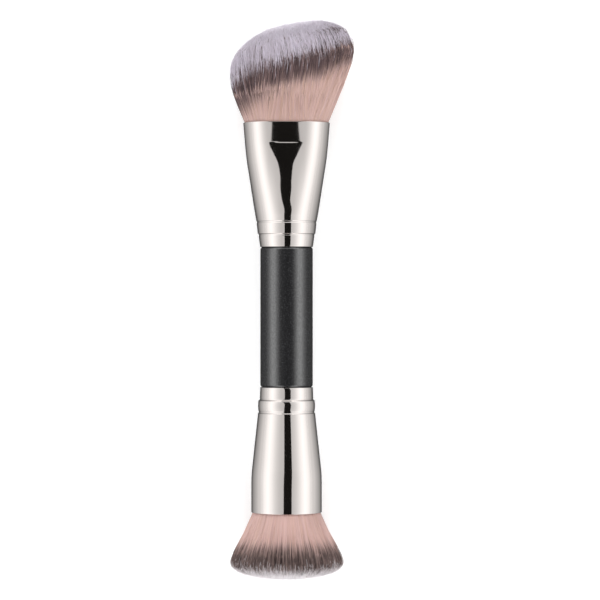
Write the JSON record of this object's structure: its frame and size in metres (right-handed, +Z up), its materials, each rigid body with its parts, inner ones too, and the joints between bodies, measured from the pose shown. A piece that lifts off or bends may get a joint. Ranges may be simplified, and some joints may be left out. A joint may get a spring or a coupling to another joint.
{
  "type": "double ended makeup brush",
  "caption": "Slim black barrel with a plated ferrule on each end: one oval head of fibre with a slanted dome, one round head with a flat dome.",
  "frame": {"origin": "middle of the surface that the brush lies on, under the centre of its box", "axes": "+Y along the brush toward the oval head, +Z up from the surface, +X toward the high side of the slanted dome"},
  "size_m": [0.0376, 0.1702, 0.034],
  "materials": {
    "grip_black": "satin black lacquer with a fine grain",
    "nickel_plate": "polished nickel plate",
    "fibre": "fine synthetic fibre, peach at the root, dark brown below pale tips",
    "glue": "hardened amber resin",
    "thread": "waxed winding thread"
  },
  "bodies": {
    "root": {"handle": "grip_black", "oval_ferrule": "nickel_plate", "round_ferrule": "nickel_plate", "oval_bristles": "fibre", "round_bristles": "fibre", "oval_glue_plug": "glue", "round_glue_plug": "glue", "oval_root_binding": "thread", "round_root_binding": "thread"}
  },
  "joints": []
}
